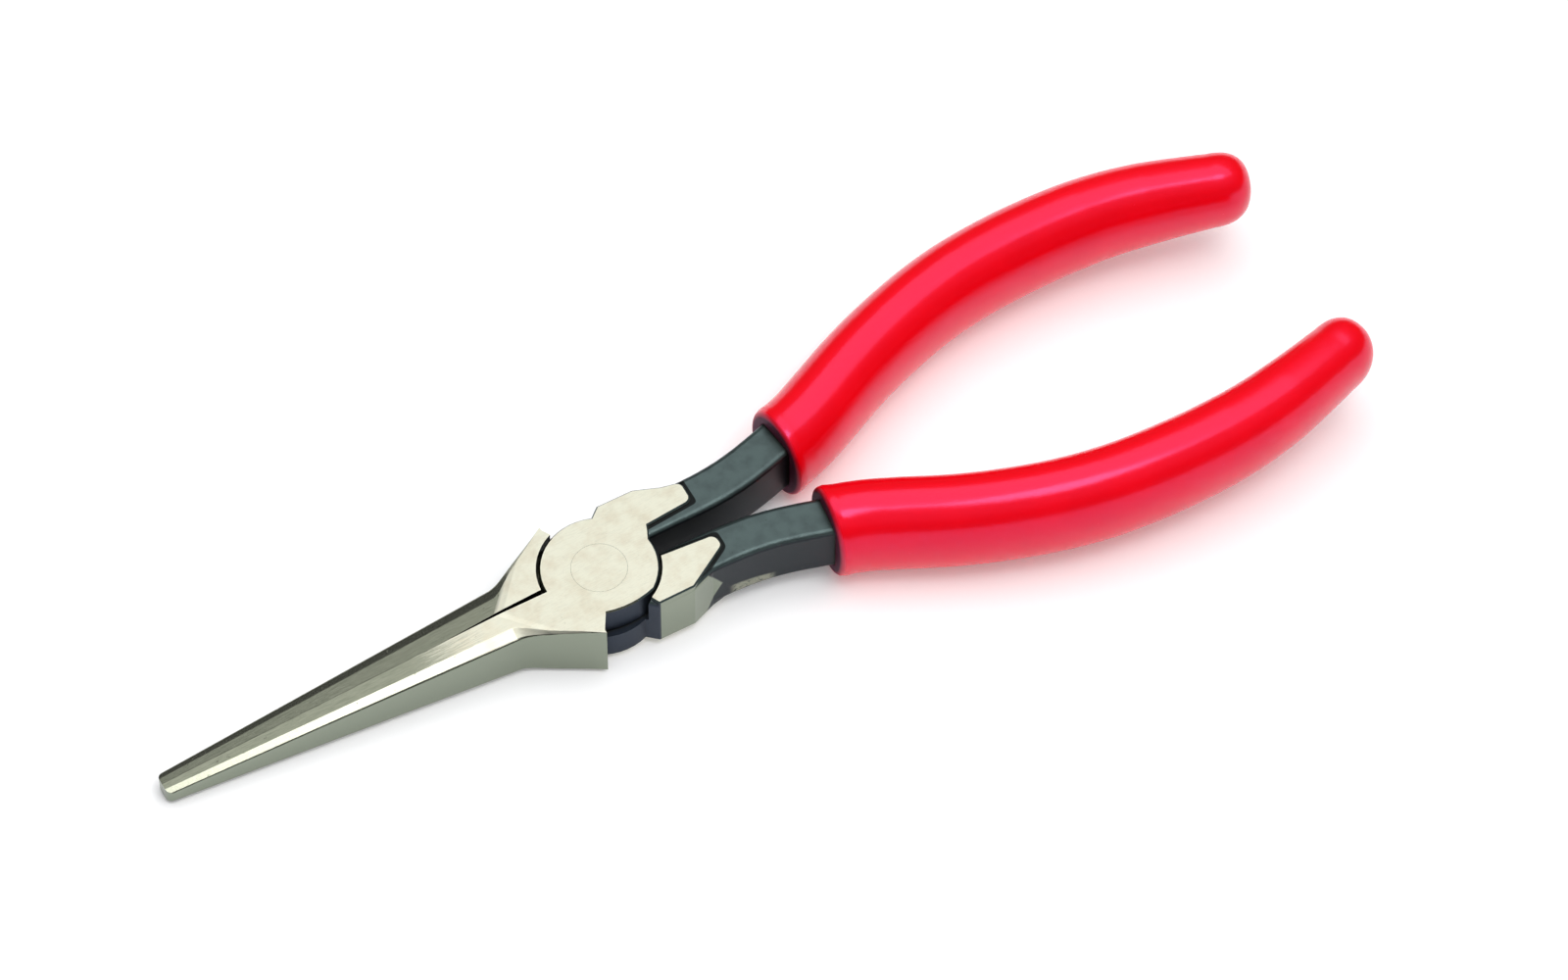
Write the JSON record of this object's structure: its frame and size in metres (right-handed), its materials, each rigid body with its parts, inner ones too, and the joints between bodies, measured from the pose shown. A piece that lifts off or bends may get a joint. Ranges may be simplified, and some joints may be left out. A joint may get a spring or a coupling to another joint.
{
  "type": "long-nose pliers",
  "caption": "Long-nose pliers with a riveted lap joint, tapering serrated jaws and curved handles in smooth vinyl sleeves.",
  "frame": {"origin": "on the rivet's axis, at the ground underside of the head", "axes": "+X along the tool from the nose to the handles, +Z along the rivet's axis, away from the lower face of the head"},
  "size_m": [0.1995, 0.059, 0.0171],
  "materials": {
    "upper_steel": "ground head, grey nose and black oxide tang",
    "lower_steel": "ground head, grey nose and black oxide tang",
    "rivet_steel": "ground flush",
    "upper_vinyl": "smooth glossy vinyl",
    "lower_vinyl": "smooth glossy vinyl"
  },
  "bodies": {
    "lower_body": {"lower_half": "lower_steel", "lower_grip": "lower_vinyl", "rivet": "rivet_steel"},
    "upper_body": {"upper_half": "upper_steel", "upper_grip": "upper_vinyl"}
  },
  "joints": [
    {"name": "rivet_hinge", "type": "hinge", "parent": "lower_body", "child": "upper_body", "pos_m": [0, 0, 0.00525], "axis": [0, 0, 1], "range_deg": [0, 40]}
  ]
}
